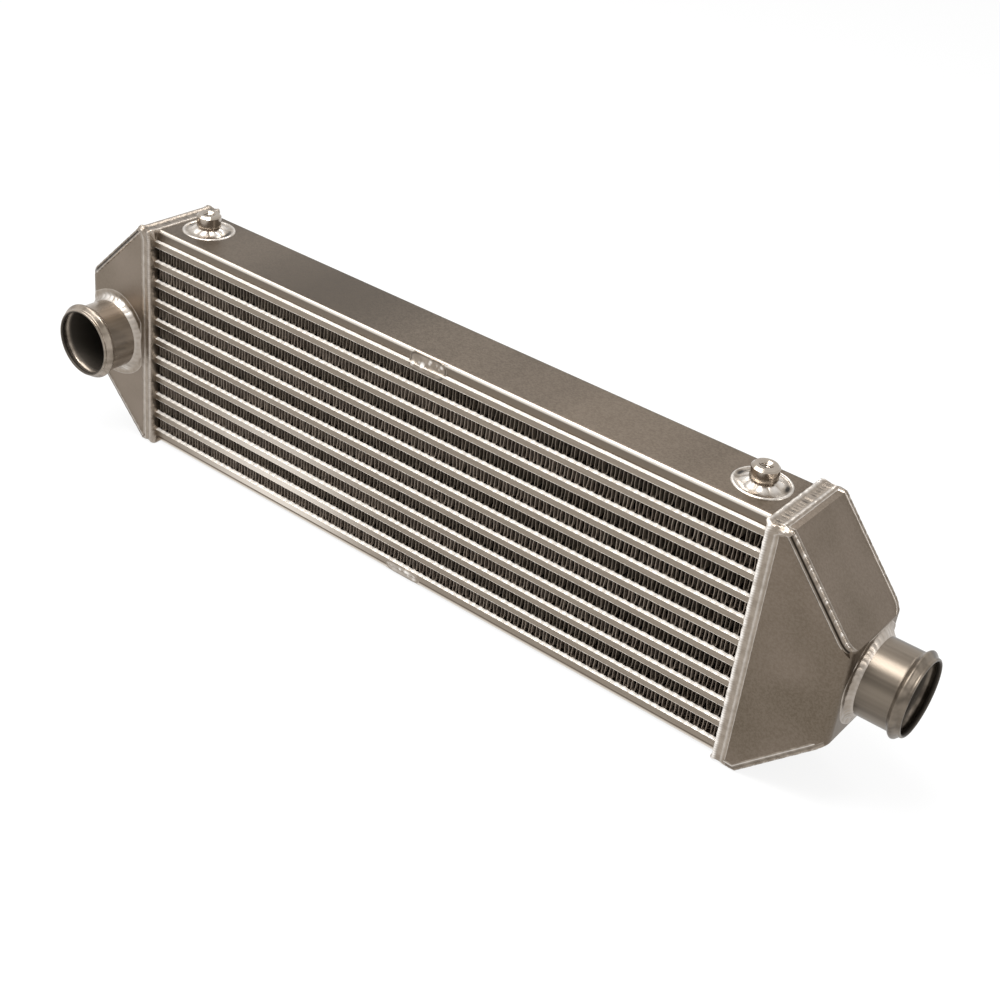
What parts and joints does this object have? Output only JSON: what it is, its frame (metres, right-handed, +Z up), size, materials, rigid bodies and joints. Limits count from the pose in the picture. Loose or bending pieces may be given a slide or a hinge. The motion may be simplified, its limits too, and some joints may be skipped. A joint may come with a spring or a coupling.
{
  "type": "intercooler",
  "caption": "Bar-and-plate air-to-air intercooler: brazed aluminium core, welded sheet end tanks, two hose spigots and two threaded mounting bosses.",
  "frame": {"origin": "centre of the flat underside, midway between the ends of the fin rows and between the front and rear faces", "axes": "+X along the core towards the outlet tank, +Y from the front face towards the rear, +Z up"},
  "size_m": [0.6763, 0.0995, 0.1873],
  "materials": {
    "satin_sheet": "satin rolled sheet",
    "brazed_bar": "satin, brazed",
    "fin_strip": "thin strip, brazed",
    "weld_metal": "rippled weld bead",
    "turned_tube": "brushed and turned"
  },
  "bodies": {
    "root": {"top_cover": "satin_sheet", "bottom_cover": "satin_sheet", "charge_passage_01": "brazed_bar", "charge_passage_02": "brazed_bar", "charge_passage_03": "brazed_bar", "charge_passage_04": "brazed_bar", "charge_passage_05": "brazed_bar", "charge_passage_06": "brazed_bar", "charge_passage_07": "brazed_bar", "charge_passage_08": "brazed_bar", "charge_passage_09": "brazed_bar", "charge_passage_10": "brazed_bar", "charge_passage_11": "brazed_bar", "turbulator_01": "fin_strip", "turbulator_02": "fin_strip", "turbulator_03": "fin_strip", "turbulator_04": "fin_strip", "turbulator_05": "fin_strip", "turbulator_06": "fin_strip", "turbulator_07": "fin_strip", "turbulator_08": "fin_strip", "turbulator_09": "fin_strip", "turbulator_10": "fin_strip", "turbulator_11": "fin_strip", "ambient_fin_01": "fin_strip", "ambient_fin_02": "fin_strip", "ambient_fin_03": "fin_strip", "ambient_fin_04": "fin_strip", "ambient_fin_05": "fin_strip", "ambient_fin_06": "fin_strip", "ambient_fin_07": "fin_strip", "ambient_fin_08": "fin_strip", "ambient_fin_09": "fin_strip", "ambient_fin_10": "fin_strip", "left_end_bars": "brazed_bar", "right_end_bars": "brazed_bar", "inlet_core_weld": "weld_metal", "outlet_core_weld": "weld_metal", "inlet_wrap": "satin_sheet", "inlet_top_plate": "satin_sheet", "inlet_bottom_plate": "satin_sheet", "outlet_wrap": "satin_sheet", "outlet_top_plate": "satin_sheet", "outlet_bottom_plate": "satin_sheet", "inlet_top_seams": "weld_metal", "inlet_bottom_seams": "weld_metal", "outlet_top_seams": "weld_metal", "outlet_bottom_seams": "weld_metal", "inlet_pipe": "turned_tube", "inlet_pipe_weld": "weld_metal", "outlet_pipe": "turned_tube", "outlet_pipe_weld": "weld_metal", "left_boss": "turned_tube", "left_boss_weld": "weld_metal", "right_boss": "turned_tube", "right_boss_weld": "weld_metal", "top_tack_weld": "weld_metal", "bottom_tack_weld": "weld_metal"}
  },
  "joints": []
}
